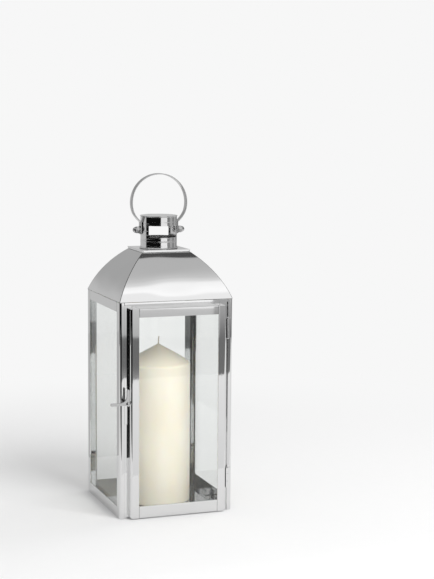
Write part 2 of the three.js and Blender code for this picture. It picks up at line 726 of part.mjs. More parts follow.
function buildLatch() {
  const latch = new THREE.Group();
  add(latch, 'latch_plate', latchPlate(), steel());
  add(latch, 'latch_stud', latchStud(), steel());
  add(latch, 'latch_lever', latchLever(), steel());
  return latch;
}

lantern.add(buildBody(), buildDoor(), buildHinges(), buildHandle(), buildLatch());

export default lantern;
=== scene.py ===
# The looks of a candle lantern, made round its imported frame: polished steel, clear glass, wax and cotton.
# Metres, +Z up. The origin is the middle of the base, on the surface it stands on. The door faces -Y.

import json
import math

import bmesh
import bpy
from mathutils import Matrix, Vector, noise


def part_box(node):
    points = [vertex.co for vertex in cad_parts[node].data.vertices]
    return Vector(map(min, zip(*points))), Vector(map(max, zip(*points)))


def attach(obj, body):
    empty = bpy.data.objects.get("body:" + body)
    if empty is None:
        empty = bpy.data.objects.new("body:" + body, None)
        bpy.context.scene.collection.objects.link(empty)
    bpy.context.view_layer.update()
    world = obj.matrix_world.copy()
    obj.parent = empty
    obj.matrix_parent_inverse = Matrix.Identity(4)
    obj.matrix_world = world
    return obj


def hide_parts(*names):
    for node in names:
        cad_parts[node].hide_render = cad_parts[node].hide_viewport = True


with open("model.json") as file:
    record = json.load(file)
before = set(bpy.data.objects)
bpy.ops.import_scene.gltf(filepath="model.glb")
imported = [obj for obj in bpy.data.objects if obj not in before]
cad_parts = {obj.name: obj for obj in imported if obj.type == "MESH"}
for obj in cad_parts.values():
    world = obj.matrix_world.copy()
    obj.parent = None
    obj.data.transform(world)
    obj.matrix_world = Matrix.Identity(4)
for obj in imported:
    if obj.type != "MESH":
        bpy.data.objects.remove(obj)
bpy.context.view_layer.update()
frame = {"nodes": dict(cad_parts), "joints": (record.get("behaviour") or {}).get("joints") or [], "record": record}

MM = 0.001
TURN = 2 * math.pi
X, Y, Z = range(3)

GAP = 0.3 * MM  # clearance that the frame keeps between pieces that meet
SHEET = 1.2 * MM  # thickness of the roof and the chimney
CUT_EDGE = 0.3 * MM  # rounding of a cut or ground edge
UPRIGHT_FOLD_R = 4 * MM  # outer radius of the fold along a post or a stile
RAIL_FOLD_R = 1.2 * MM
TAB_EDGE = 0.2 * MM  # rounding of the tabs that hold the panes
BOLT_HOLE_R = 3.2 * MM

BODY_OF = {
    node: body
    for body, nodes in frame["record"]["behaviour"]["bodies"].items()
    for node in nodes
}
JOINT = {joint["name"]: joint for joint in frame["joints"]}
PIVOT = JOINT["handle_swing"]["pos_m"]
LATCH = JOINT["latch_turn"]["pos_m"]
CHIMNEY_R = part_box("chimney_tube")[1].x
CHIMNEY_TOP_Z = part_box("chimney_tube")[1].z


# ---- Making meshes ----


def new_object(name, data):
    obj = bpy.data.objects.new(name, data)
    bpy.context.scene.collection.objects.link(obj)
    return obj


def object_from(name, bm):
    """A smooth-shaded object made from a bmesh, with its faces pointing out."""
    bmesh.ops.recalc_face_normals(bm, faces=bm.faces)
    mesh = bpy.data.meshes.new(name)
    bm.to_mesh(mesh)
    bm.free()
    mesh.shade_smooth()
    return new_object(name, mesh)


def finish_piece(obj, node, material):
    """Gives the piece its material, and puts it in the place of its CAD node, on that node's body."""
    obj.data.materials.clear()
    obj.data.materials.append(material)
    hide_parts(node)
    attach(obj, BODY_OF[node])
    return obj


def round_edges(obj, width, segments=3, angle=30):
    """Rounds every edge sharper than the angle, and keeps flat faces flat to the eye."""
    bevel = obj.modifiers.new("Round edges", "BEVEL")
    bevel.width = width
    bevel.segments = segments
    bevel.limit_method = "ANGLE"
    bevel.angle_limit = math.radians(angle)
    bevel.harden_normals = True
    bevel.miter_outer = "MITER_ARC"
    return obj


# Turns that lay the axis of a wound piece along the named direction.
AXES = {
    "z": Matrix.Identity(3),
    "x": Matrix(((0, 0, 1), (0, 1, 0), (-1, 0, 0))),
    "-x": Matrix(((0, 0, -1), (0, 1, 0), (1, 0, 0))),
    "-y": Matrix(((1, 0, 0), (0, 0, -1), (0, 1, 0))),
}


def wound(name, levels, axis="z", at=(0, 0, 0), segments=96):
    """A closed surface round an axis, from levels of (radius, height).

    A radius may be a function of the angle. Levels that start off the axis close on themselves, as a tube.
    """
    bm = bmesh.new()
    turn, offset = AXES[axis], Vector(at)

    def point(radius, angle, height):
        r = radius(angle) if callable(radius) else radius
        return bm.verts.new(turn @ Vector((r * math.cos(angle), r * math.sin(angle), height)) + offset)

    rings = []
    for radius, height in levels:
        if radius == 0:
            rings.append([point(0, 0, height)] * segments)
        else:
            rings.append([point(radius, TURN * i / segments, height) for i in range(segments)])
    if levels[0][0] != 0:
        rings.append(rings[0])
    for low, high in zip(rings, rings[1:]):
        for i in range(segments):
            k = (i + 1) % segments
            corners = list(dict.fromkeys((low[i], low[k], high[k], high[i])))
            bm.faces.new(corners)
    return object_from(name, bm)


def prism(name, outline, low, high, place):
    """An outline of (u, v) points pushed from low to high. place(u, v, w) gives each point in the frame."""
    bm = bmesh.new()
    ends = [[bm.verts.new(place(u, v, w)) for u, v in outline] for w in (low, high)]
    for end in ends:
        bm.faces.new(end)
    count = len(outline)
    for i in range(count):
        k = (i + 1) % count
        bm.faces.new((ends[0][i], ends[0][k], ends[1][k], ends[1][i]))
    return object_from(name, bm)


def block(name, low, high):
    """A plain box, used only to cut other pieces."""
    outline = [(low[0], low[1]), (high[0], low[1]), (high[0], high[1]), (low[0], high[1])]
    return prism(name, outline, low[2], high[2], lambda u, v, w: Vector((u, v, w)))


def cut_away(obj, *cutters):
    """Takes the cutters out of the piece and deletes them."""
    for cutter in cutters:
        boolean = obj.modifiers.new("Cut", "BOOLEAN")
        boolean.operation = "DIFFERENCE"
        boolean.solver = "EXACT"
        boolean.object = cutter
        evaluated = obj.evaluated_get(bpy.context.evaluated_depsgraph_get())
        mesh = bpy.data.meshes.new_from_object(evaluated)
        obj.modifiers.clear()
        obj.data = mesh
        bpy.data.objects.remove(cutter)
    obj.data.shade_smooth()
    return obj


def arc(centre, radius, start, end, steps):
    """Points on an arc, with its angles in degrees."""
    angles = [math.radians(start + (end - start) * i / steps) for i in range(steps + 1)]
    return [(centre[0] + radius * math.cos(a), centre[1] + radius * math.sin(a)) for a in angles]


def dome(radius, base, height, steps):
    """A quarter of an ellipse from its rim up to just short of its top, as (radius, height) points."""
    angles = [math.pi / 2 * i / steps for i in range(steps)]
    return [(radius * math.cos(a), base + height * math.sin(a)) for a in angles]


def bolt_drill(reach):
    """A rod along the handle's axis, used only to cut the bolt holes."""
    outline = [(0, -reach), (BOLT_HOLE_R, -reach), (BOLT_HOLE_R, reach), (0, reach)]
    return wound("drill", outline, "x", PIVOT, 32)


def circle_through(a, b, c):
    """Centre and radius of the circle through three points in a plane."""
    (ax, ay), (bx, by), (cx, cy) = a, b, c
    d = 2 * (ax * (by - cy) + bx * (cy - ay) + cx * (ay - by))
    sa, sb, sc = ax * ax + ay * ay, bx * bx + by * by, cx * cx + cy * cy
    ux = (sa * (by - cy) + sb * (cy - ay) + sc * (ay - by)) / d
    uy = (sa * (cx - bx) + sb * (ax - cx) + sc * (bx - ax)) / d
    return (ux, uy), math.hypot(ax - ux, ay - uy)


# ---- Materials ----


class Nodes:
    """Short calls for building a node tree."""

    def __init__(self, tree):
        self.tree = tree
        tree.nodes.clear()

    def add(self, kind, settings=None, **inputs):
        node = self.tree.nodes.new(kind)
        for key, value in (settings or {}).items():
            setattr(node, key, value)
        for key, value in inputs.items():
            self.set(node.inputs[key.replace("_", " ")], value)
        return node

    def set(self, socket, value):
        if isinstance(value, bpy.types.NodeSocket):
            self.tree.links.new(value, socket)
        else:
            socket.default_value = value

    def math(self, operation, *values):
        node = self.tree.nodes.new("ShaderNodeMath")
        node.operation = operation
        for socket, value in zip(node.inputs, values):
            self.set(socket, value)
        return node.outputs[0]

    def spread(self, value, low, high, to_low, to_high):
        """A smooth change from to_low to to_high as the value goes from low to high."""
        node = self.add("ShaderNodeMapRange", {"interpolation_type": "SMOOTHSTEP"})
        for socket, number in zip(node.inputs, (value, low, high, to_low, to_high)):
            self.set(socket, number)
        return node.outputs[0]

    def mix(self, factor, first, second):
        """A blend of two colours, in the sockets that the Mix node keeps for colours."""
        node = self.add("ShaderNodeMix", {"data_type": "RGBA"})
        self.set(node.inputs[0], factor)
        self.set(node.inputs[6], first)
        self.set(node.inputs[7], second)
        return node.outputs[2]

    def noise(self, scale, stretch=(1, 1, 1), detail=3.0):
        place = self.tree.nodes.new("ShaderNodeTexCoord")
        mapping = self.tree.nodes.new("ShaderNodeMapping")
        mapping.inputs["Scale"].default_value = stretch
        self.tree.links.new(place.outputs["Object"], mapping.inputs["Vector"])
        node = self.add("ShaderNodeTexNoise", Scale=scale, Detail=detail)
        self.tree.links.new(mapping.outputs[0], node.inputs["Vector"])
        return node.outputs[0]

    def bump(self, height, distance, strength=1.0, normal=None):
        node = self.add("ShaderNodeBump", Height=height, Distance=distance, Strength=strength)
        if normal is not None:
            self.set(node.inputs["Normal"], normal)
        return node.outputs[0]


def new_material(name):
    material = bpy.data.materials.new(name)
    material.use_nodes = True
    return material, Nodes(material.node_tree)


def grey(value):
    return (value, value, value, 1.0)


def polished_steel(name, stretch, base=0.74, roughness=0.028, ripple=0.05, wave=11.0, scratch=0.0):
    """Mirror-polished sheet: fine polishing lines, faint wiped patches and shallow ripples.

    The lines run along the axes where stretch is small. wave is how many ripples a metre has, and scratch
    is how much rougher the coarsest polishing lines are.
    """
    material, n = new_material(name)
    lines = n.noise(900.0, stretch, detail=2.0)
    patches = n.noise(22.0, detail=4.0)
    waves = n.noise(wave, (0.6, 0.6, 1.5), detail=0.0)
    finish = n.math("MULTIPLY_ADD", patches, 0.6, n.math("MULTIPLY", lines, 0.4))
    shine = n.spread(finish, 0.3, 0.7, roughness * 0.7, roughness * 1.6)
    if scratch:
        coarse = n.noise(420.0, stretch, detail=1.0)
        shine = n.math("ADD", shine, n.spread(coarse, 0.52, 0.66, 0.0, scratch))
    tint = n.mix(patches, (base, base, base * 1.004, 1), (base * 0.965, base * 0.965, base * 0.965, 1))
    rippled = n.bump(waves, 1.0 * MM, ripple)
    relief = n.bump(lines, 0.002 * MM, 0.5, rippled)
    shader = n.add(
        "ShaderNodeBsdfPrincipled", Base_Color=tint, Metallic=1.0, Roughness=shine, Normal=relief,
    )
    n.add("ShaderNodeOutputMaterial", Surface=shader.outputs[0])
    return material


def cut_edge_with_painted_shade():
    """The rounded edges of a sheet: duller than its faces, with short saw lines, and a nearly black colour that is
    painted shade for the seams.
    """
    material, n = new_material("Cut steel edge, painted seam shade")
    lines = n.noise(1500.0, (1, 1, 0.3), detail=2.0)
    # Nearly black: painted shade, so that the rounded edges draw dark seams along the roof's hips, foot and top.
    colour = n.mix(lines, grey(0.1), grey(0.2))
    shader = n.add(
        "ShaderNodeBsdfPrincipled", Base_Color=colour, Metallic=1.0, Normal=n.bump(lines, 0.01 * MM, 0.6),
        Roughness=n.spread(lines, 0.3, 0.7, 0.3, 0.45),
    )
    n.add("ShaderNodeOutputMaterial", Surface=shader.outputs[0])
    return material


def clear_glass():
    """Thin window glass with a faint wiped film. It mirrors more at a slant and passes on the rest."""
    material, n = new_material("Clear glass")
    film = n.noise(30.0, (1, 1, 0.25), detail=5.0)
    waves = n.bump(n.noise(9.0, detail=0.0), 0.3 * MM, 0.15)
    slant = n.add("ShaderNodeLayerWeight", Blend=0.5).outputs["Facing"]
    fresnel = n.math("MULTIPLY_ADD", n.math("POWER", slant, 5.0), 0.6, 0.035)
    mirrored = n.math("ADD", fresnel, n.spread(film, 0.35, 0.75, 0.0, 0.012))
    through = n.add("ShaderNodeBsdfTransparent", Color=(0.992, 0.997, 0.994, 1))
    mirror = n.add("ShaderNodeBsdfGlossy", Roughness=n.spread(film, 0.3, 0.7, 0.005, 0.03), Normal=waves)
    mixed = n.add("ShaderNodeMixShader", Fac=mirrored)
    n.set(mixed.inputs[1], through.outputs[0])
    n.set(mixed.inputs[2], mirror.outputs[0])
    n.add("ShaderNodeOutputMaterial", Surface=mixed.outputs[0])
    return material


def candle_wax():
    """Pressed ivory wax: soft light inside, faint mottling, a fine grain and a few shallow dents."""
    material, n = new_material("Candle wax")
    mottle = n.noise(28.0, (1, 1, 0.5), detail=4.0)
    grain = n.noise(1400.0, detail=2.0)
    dents = n.noise(55.0, detail=1.0)
    colour = n.mix(n.spread(mottle, 0.3, 0.7, 0, 1), (0.89, 0.845, 0.73, 1), (0.86, 0.80, 0.67, 1))
    relief = n.bump(grain, 0.02 * MM, 0.5, n.bump(dents, 0.15 * MM, 0.4))
    shader = n.add(
        "ShaderNodeBsdfPrincipled", Base_Color=colour, Normal=relief, IOR=1.44,
        Roughness=n.spread(mottle, 0.3, 0.7, 0.36, 0.5),
    )
    shader.inputs["Subsurface Weight"].default_value = 0.45
    shader.inputs["Subsurface Radius"].default_value = (1.0, 0.7, 0.4)
    shader.inputs["Subsurface Scale"].default_value = 6 * MM
    n.add("ShaderNodeOutputMaterial", Surface=shader.outputs[0])
    return material


def wick_cotton():
    """Waxed cotton thread: short fibres along the strand, cream with a little grey."""
    material, n = new_material("Wick cotton")
    fibres = n.noise(4000.0, (1, 1, 0.15), detail=3.0)
    colour = n.mix(fibres, (0.52, 0.47, 0.38, 1), (0.78, 0.73, 0.62, 1))
    shader = n.add(
        "ShaderNodeBsdfPrincipled", Base_Color=colour, Normal=n.bump(fibres, 0.1 * MM, 0.8),
        Roughness=n.spread(fibres, 0.3, 0.7, 0.65, 0.9),
    )
    shader.inputs["Sheen Weight"].default_value = 0.3
    n.add("ShaderNodeOutputMaterial", Surface=shader.outputs[0])
    return material


LINES_ROUND = (0.05, 0.05, 1)  # polishing lines that run level, round the piece
STEEL_UPRIGHT = polished_steel("Polished steel upright", (1, 1, 0.03))
STEEL_LEVEL = polished_steel("Polished steel level", (0.03, 1, 1))
STEEL_DEEP = polished_steel("Polished steel side", (1, 0.03, 1))
STEEL_ROOF = polished_steel("Polished steel roof", LINES_ROUND, roughness=0.07, ripple=1.0, wave=26.0)
STEEL_TURNED = polished_steel("Polished steel turned", LINES_ROUND, roughness=0.03, ripple=0.04, scratch=0.3)
STEEL_HANDLE = polished_steel("Polished steel handle", (0.2, 1, 0.2), base=0.5, roughness=0.05)
STEEL_CUT_AND_SEAM_SHADE = cut_edge_with_painted_shade()
GLASS = clear_glass()
WAX = candle_wax()
COTTON = wick_cotton()


# ---- Folded frame: each piece keeps the shape of its CAD node and gets round edges ----


def refined(name, node, material, edge, folds=(), fold_r=0.0):
    """A copy of a CAD node with its triangles merged into whole faces and its edges rounded.

    folds lists pairs of planes, as (axis, place): the edge where the two planes meet gets the fold radius.
    """
    bm = bmesh.new()
    bm.from_mesh(frame["nodes"][node].data)
    bmesh.ops.remove_doubles(bm, verts=bm.verts, dist=0.002 * MM)
    bmesh.ops.dissolve_limit(bm, angle_limit=math.radians(0.5), verts=bm.verts, edges=bm.edges)

    def lies_in(line, plane):
        axis, place = plane
        return all(abs(vertex.co[axis] - place) < 0.01 * MM for vertex in line.verts)

    folded = [line for line in bm.edges if any(lies_in(line, a) and lies_in(line, b) for a, b in folds)]
    if folded:
        bmesh.ops.bevel(
            bm, geom=folded, offset=fold_r, offset_type="OFFSET", segments=8, profile=0.5, affect="EDGES",
        )
    piece = object_from(name, bm)
    round_edges(piece, edge)
    flat = piece.modifiers.new("Flat faces stay flat", "WEIGHTED_NORMAL")
    flat.weight = 100
    return finish_piece(piece, node, material)


def posts():
    for side in ("left", "right"):
        for end in ("front", "back"):
            node = f"post_{end}_{side}"
            low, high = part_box(node)
            corner = ((X, low.x if side == "left" else high.x), (Y, low.y if end == "front" else high.y))
            refined(
                f"Post_{end}_{side}", node, STEEL_UPRIGHT, CUT_EDGE, folds=[corner], fold_r=UPRIGHT_FOLD_R,
            )


def rails_and_plates():
    for face in ("front", "back", "left", "right"):
        steel = STEEL_LEVEL if face in ("front", "back") else STEEL_DEEP
        refined(f"Base_rail_{face}", f"base_rail_{face}", steel, CUT_EDGE)
        refined(f"Header_rail_{face}", f"header_rail_{face}", steel, CUT_EDGE)
    refined("Floor_plate", "floor_plate", STEEL_LEVEL, CUT_EDGE)
    refined("Roof_cap_plate", "roof_cap_plate", STEEL_LEVEL, CUT_EDGE)


def glass_pieces():
    for face in ("back", "left", "right"):
        refined(f"Pane_{face}", f"glass_{face}", GLASS, CUT_EDGE)
        for end in ("top", "bottom"):
            refined(f"Pane_tab_{end}_{face}", f"glass_tab_{end}_{face}", STEEL_LEVEL, TAB_EDGE)
    refined("Door_pane", "door_glass", GLASS, CUT_EDGE)


def door_pieces():
    for side in ("left", "right"):
        node = f"door_stile_{side}"
        low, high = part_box(node)
        edge = (X, low.x if side == "left" else high.x)
        folds = [(edge, plane) for plane in ((Y, low.y), (Z, low.z), (Z, high.z))]
        refined(f"Door_stile_{side}", node, STEEL_UPRIGHT, CUT_EDGE, folds=folds, fold_r=UPRIGHT_FOLD_R)
    for end in ("top", "bottom"):
        node = f"door_rail_{end}"
        low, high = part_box(node)
        folds = [((Z, high.z if end == "top" else low.z), (Y, low.y))]
        refined(f"Door_rail_{end}", node, STEEL_LEVEL, CUT_EDGE, folds=folds, fold_r=RAIL_FOLD_R)
        refined(f"Door_pane_tab_{end}", f"door_glass_tab_{end}", STEEL_LEVEL, TAB_EDGE)


# ---- Roof ----


def roof_curve(node, quarter):
    """The outer curve of a roof sheet, as (distance from the middle, height) points.

    It is the circle through the lowest, a middle and the highest row of the CAD node, with a finer step.
    """
    unturn = Matrix.Rotation(-quarter * TURN / 4, 3, "Z")
    outer = {}
    for vertex in frame["nodes"][node].data.vertices:
        p = unturn @ vertex.co
        key = round(p.z, 5)
        if key not in outer or p.y < outer[key].y:
            outer[key] = p
    rows = [outer[key] for key in sorted(outer)]
    ends = [(-rows[i].y, rows[i].z) for i in (0, len(rows) // 2, -1)]
    centre, radius = circle_through(*ends)
    start, end = (math.degrees(math.atan2(z - centre[1], h - centre[0])) for h, z in (ends[0], ends[2]))
    steps = 40
    return arc(centre, radius, start, end, steps), centre


def roof_panel(face, quarter):
    """One curved sheet, mitred at the hips, on the same curve as its CAD node."""
    node = f"roof_panel_{face}"
    outside, centre = roof_curve(node, quarter)
    inside = []
    for half, z in outside:
        slope = math.atan2(z - centre[1], half - centre[0])
        inside.append((half - SHEET / math.cos(slope), z))
    mitre = GAP / math.sqrt(2)
    columns = 24
    turn = Matrix.Rotation(quarter * TURN / 4, 3, "Z")
    bm = bmesh.new()

    def row(half, z):
        reach = half - mitre
        places = [reach * (2 * i / columns - 1) for i in range(columns + 1)]
        return [bm.verts.new(turn @ Vector((x, -half, z))) for x in places]

    outer, inner = ([row(half, z) for half, z in wall] for wall in (outside, inside))
    for grid in (outer, inner):
        for low, high in zip(grid, grid[1:]):
            for i in range(columns):
                bm.faces.new((low[i], low[i + 1], high[i + 1], high[i]))
    for i in (0, -1):
        for a in range(columns):  # along the foot and the top
            bm.faces.new((outer[i][a], outer[i][a + 1], inner[i][a + 1], inner[i][a]))
        for a in range(len(outside) - 1):  # up the two hips
            bm.faces.new((outer[a][i], outer[a + 1][i], inner[a + 1][i], inner[a][i]))
    piece = object_from(f"Roof_panel_{face}", bm)
    round_edges(piece, 0.5 * MM, angle=40)
    finish_piece(piece, node, STEEL_ROOF)
    # The rounded edges get the nearly black edge steel: painted shade along the hip seams, the foot and the top.
    piece.data.materials.append(STEEL_CUT_AND_SEAM_SHADE)
    piece.modifiers["Round edges"].material = 1
    return piece


def roof_pieces():
    for quarter, face in enumerate(("front", "right", "back", "left")):
        roof_panel(face, quarter)


# ---- Chimney ----


def vent_window():
    """Half the width and the two heights of the vents, read from the tube's own edges at its front."""
    low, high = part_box("chimney_tube")
    inside = [
        v.co for v in frame["nodes"]["chimney_tube"].data.vertices
        if v.co.y < low.y / 3 and low.z + MM < v.co.z < high.z - MM
    ]
    bottom, top = min(p.z for p in inside), max(p.z for p in inside)
    return max(p.x for p in inside if p.z - bottom < 0.1 * MM), bottom, top


def chimney_tube():
    low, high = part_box("chimney_tube")
    inner, rim = CHIMNEY_R - SHEET, 0.35 * MM
    tube = wound("Chimney_tube", [
        (inner, low.z), (CHIMNEY_R, low.z),
        (CHIMNEY_R, high.z - rim), (CHIMNEY_R - rim, high.z), (inner, high.z),
    ], segments=128)
    half, bottom, top = vent_window()
    reach = 2 * CHIMNEY_R
    window = block("window", (-half, -reach, bottom), (half, reach, top))
    cut_away(tube, window, bolt_drill(reach))
    round_edges(tube, 0.2 * MM, 2, 40)
    return finish_piece(tube, "chimney_tube", STEEL_TURNED)


def chimney_collar():
    """A thin flange with a bead at its edge, swept up to meet the tube."""
    low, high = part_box("chimney_collar")
    foot, edge = high.x, 0.4 * MM
    neck = CHIMNEY_R + GAP
    flare = arc((foot, high.z), high.z - low.z - 1.0 * MM, 180, 270, 10)
    collar = wound("Chimney_collar", [
        (neck, low.z), (foot - edge / 2, low.z), (foot, low.z + edge), (foot - edge / 2, low.z + 2 * edge),
        *[(max(neck + 0.5 * MM, r), z) for r, z in reversed(flare) if r < foot - edge],
        (neck + 0.3 * MM, high.z), (neck, high.z),
    ], segments=128)
    round_edges(collar, 0.1 * MM, 2)
    return finish_piece(collar, "chimney_collar", STEEL_TURNED)


def chimney_lid():
    """A flat lid with a rolled edge, a barely raised middle and a ring below that sits in the tube."""
    low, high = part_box("chimney_lid")
    base = CHIMNEY_TOP_Z + GAP
    spigot = CHIMNEY_R - SHEET - GAP
    roll = (high.z - base) / 2
    flat_r, raised = 0.94 * high.x, 0.15 * MM
    lid = wound("Chimney_lid", [
        (0, base), (spigot - SHEET, base), (spigot - SHEET, low.z), (spigot, low.z), (spigot, base),
        *arc((high.x - roll, base + roll), roll, -90, 90, 8),
        (flat_r, high.z), (0, high.z + raised),
    ], segments=128)
    round_edges(lid, 0.12 * MM, 2, 50)
    return finish_piece(lid, "chimney_lid", STEEL_TURNED)


# ---- Ring handle ----

STRIP_T = 1.6 * MM


def handle_line():
    """The middle of the strip as (x, z) points: up from the left lug, over the loop and down again."""
    low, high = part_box("handle_ring")
    loop_r, loop_z = high.x - STRIP_T / 2, high.z - high.x
    lug_gap, bend_h, bend = 0.6 * MM, 12 * MM, 9 * MM
    lug_x = CHIMNEY_R + lug_gap + STRIP_T / 2
    bend_z = PIVOT[2] + bend_h
    leave_deg = -16  # where the flank meets the loop
    leave = math.radians(leave_deg)
    flank_end = Vector((loop_r * math.cos(leave), loop_z + loop_r * math.sin(leave)))
    pull = flank_end + Vector((math.sin(leave), -math.cos(leave))) * bend
    flank_start = Vector((lug_x, bend_z))
    lug_steps, flank_steps = 30, 20
    straight = [Vector((lug_x, low.z + (bend_z - low.z) * i / lug_steps)) for i in range(lug_steps)]
    flank = []
    for i in range(flank_steps):
        t = i / flank_steps
        flank.append(flank_start * (1 - t) ** 2 + pull * 2 * t * (1 - t) + flank_end * t * t)
    loop = [Vector(p) for p in arc((0, loop_z), loop_r, leave_deg, 90, 60)]
    right = straight + flank + loop
    left = [Vector((-p.x, p.y)) for p in right]
    return left + right[-2::-1]


def strip_section(edge):
    """The strip's rounded section: (across its thickness, which side of its width, from that side's edge)."""
    section = []
    for quarter, (su, sv) in enumerate(((1, 1), (-1, 1), (-1, -1), (1, -1))):
        for u, v in arc((0, 0), edge, 90 * quarter, 90 * quarter + 90, 4):
            section.append((su * (STRIP_T / 2 - edge) + u, sv, v))
    return section


def handle_ring():
    """One flat strip with soft edges, bent round and ending in two round lugs."""
    low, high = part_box("handle_ring")
    line = handle_line()
    half_width, edge, narrowest = high.y, 0.45 * MM, 0.8 * MM
    section = strip_section(edge)
    bm = bmesh.new()
    rings = []
    for i, point in enumerate(line):
        along = (line[min(i + 1, len(line) - 1)] - line[max(i - 1, 0)]).normalized()
        outward = Vector((-along.y, along.x))
        from_end = min(point.y - low.z, half_width)
        width = math.sqrt(max(half_width ** 2 - (half_width - from_end) ** 2, narrowest ** 2))
        flat = width - edge
        ring = []
        for u, sv, v in section:
            x, z = point + outward * u
            ring.append(bm.verts.new((x, sv * flat + v, z)))
        rings.append(ring)
    for low_ring, high_ring in zip(rings, rings[1:]):
        for i in range(len(section)):
            k = (i + 1) % len(section)
            bm.faces.new((low_ring[i], low_ring[k], high_ring[k], high_ring[i]))
    bm.faces.new(rings[0])
    bm.faces.new(rings[-1])
    ring = object_from("Handle_ring", bm)
    cut_away(ring, bolt_drill(2 * high.x))
    round_edges(ring, 0.12 * MM, 2, 50)
    return finish_piece(ring, "handle_ring", STEEL_HANDLE)


def hexagon(across_corners, crown):
    """A radius that follows a hexagon, held inside a round crown."""
    apothem = across_corners * math.cos(math.pi / 6)

    def radius(angle):
        inside = (angle + math.pi / 6) % (math.pi / 3) - math.pi / 6
        return min(apothem / math.cos(inside), crown)

    return radius


def span_out(node, side):
    """How far from the middle a piece of the handle's hardware starts and ends, along its axis."""
    sign = 1 if side == "right" else -1
    low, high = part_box(f"{node}_{side}")
    return sorted((sign * low.x, sign * high.x))


def handle_nut(side, axis):
    """An acorn nut: a hexagon with chamfered corners, a dome and a blind hole."""
    start, tip = span_out("handle_nut", side)
    corners, bore, bevel = 5.8 * MM, 4 * MM, 0.5 * MM
    hex_top = start + 4.6 * MM
    chamfer = [(hexagon(corners, corners * (0.9 + 0.1 * t)), start + bevel * t) for t in (0, 0.5, 1)]
    crown = [
        (hexagon(corners, corners * (1 - 0.12 * t)), hex_top - 0.6 * MM * (1 - t)) for t in (0, 0.5, 1)
    ]
    nut = wound(f"Handle_nut_{side}", [
        (0, start + bore), (BOLT_HOLE_R, start + bore), (BOLT_HOLE_R, start),
        *chamfer, *crown, *dome(4.7 * MM, hex_top, tip - hex_top, 14), (0, tip),
    ], axis, (0, 0, PIVOT[2]), 72)
    round_edges(nut, 0.1 * MM, 2, 28)
    return finish_piece(nut, f"handle_nut_{side}", STEEL_HANDLE)


def handle_washer(side, axis):
    start, end = span_out("handle_washer", side)
    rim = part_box(f"handle_washer_{side}")[1].y
    washer = wound(f"Handle_washer_{side}", [
        (BOLT_HOLE_R, start), (rim, start), (rim, end), (BOLT_HOLE_R, end),
    ], axis, (0, 0, PIVOT[2]), 64)
    round_edges(washer, 0.25 * MM, 3)
    return finish_piece(washer, f"handle_washer_{side}", STEEL_HANDLE)


def handle_bolt(side, axis):
    """A round-headed bolt from inside the chimney, with a cross slot in its head."""
    start, end = span_out("handle_bolt", side)
    head_r, head_h, head_rim = 5.0 * MM, 3.6 * MM, 1.2 * MM
    shaft_r, tip = 2.9 * MM, 0.6 * MM
    seat = start + head_h
    bolt = wound(f"Handle_bolt_{side}", [
        (0, start), *reversed(dome(head_r, seat - head_rim, head_rim - head_h, 10)), (head_r, seat),
        (shaft_r, seat), (shaft_r, end - tip), (shaft_r - tip, end), (0, end),
    ], axis, (0, 0, PIVOT[2]), 64)
    blade, arm, depth = 0.5 * MM, 3 * MM, 1.6 * MM
    sign = 1 if side == "right" else -1
    x0, x1 = sorted((sign * (start - MM), sign * (start + depth)))
    slots = [
        block("slot", (x0, -y, PIVOT[2] - z), (x1, y, PIVOT[2] + z)) for y, z in ((blade, arm), (arm, blade))
    ]
    cut_away(bolt, *slots)
    return finish_piece(bolt, f"handle_bolt_{side}", STEEL_TURNED)


def handle_hardware():
    for side, axis in (("left", "-x"), ("right", "x")):
        handle_nut(side, axis)
        handle_washer(side, axis)
        handle_bolt(side, axis)


# ---- Hinges ----


def hinge_pin(end):
    """A pin with a low domed head at each end."""
    node = f"hinge_pin_{end}"
    low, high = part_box(node)
    middle = (low + high) / 2
    head_r, pin_r, head_h = (high.x - low.x) / 2, 1.4 * MM, 1.4 * MM
    foot, top = low.z + head_h, high.z - head_h
    pin = wound(f"Hinge_pin_{end}", [
        (0, low.z), *reversed(dome(head_r, foot, -head_h, 8)), (pin_r, foot),
        (pin_r, top), *dome(head_r, top, head_h, 8), (0, high.z),
    ], "z", (middle.x, middle.y, 0), 48)
    return finish_piece(pin, node, STEEL_TURNED)


def hinge_pieces():
    for end in ("upper", "lower"):
        for leaf in ("post", "door"):
            refined(f"Hinge_{leaf}_leaf_{end}", f"hinge_{leaf}_leaf_{end}", STEEL_UPRIGHT, 0.15 * MM)
        hinge_pin(end)


# ---- Latch ----

STUD_NECK_R = 1.6 * MM


def latch_plate():
    refined("Latch_plate", "latch_plate", STEEL_UPRIGHT, CUT_EDGE)


def latch_stud():
    """A boss behind the lever, a neck through it and a domed head in front."""
    low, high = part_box("latch_stud")
    lever_low, lever_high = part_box("latch_lever")
    head_r, boss_r, head_rim = (high.x - low.x) / 2, 2.6 * MM, 0.5 * MM
    back, front = -high.y, -low.y
    boss_end, seat = -lever_high.y - GAP, -lever_low.y + GAP
    stud = wound("Latch_stud", [
        (0, back), (boss_r, back), (boss_r, boss_end), (STUD_NECK_R, boss_end), (STUD_NECK_R, seat),
        (head_r - 0.2 * MM, seat), *dome(head_r, seat + head_rim, front - seat - head_rim, 10), (0, front),
    ], "-y", (LATCH[0], 0, LATCH[2]), 48)
    round_edges(stud, 0.15 * MM, 2, 50)
    return finish_piece(stud, "latch_stud", STEEL_HANDLE)


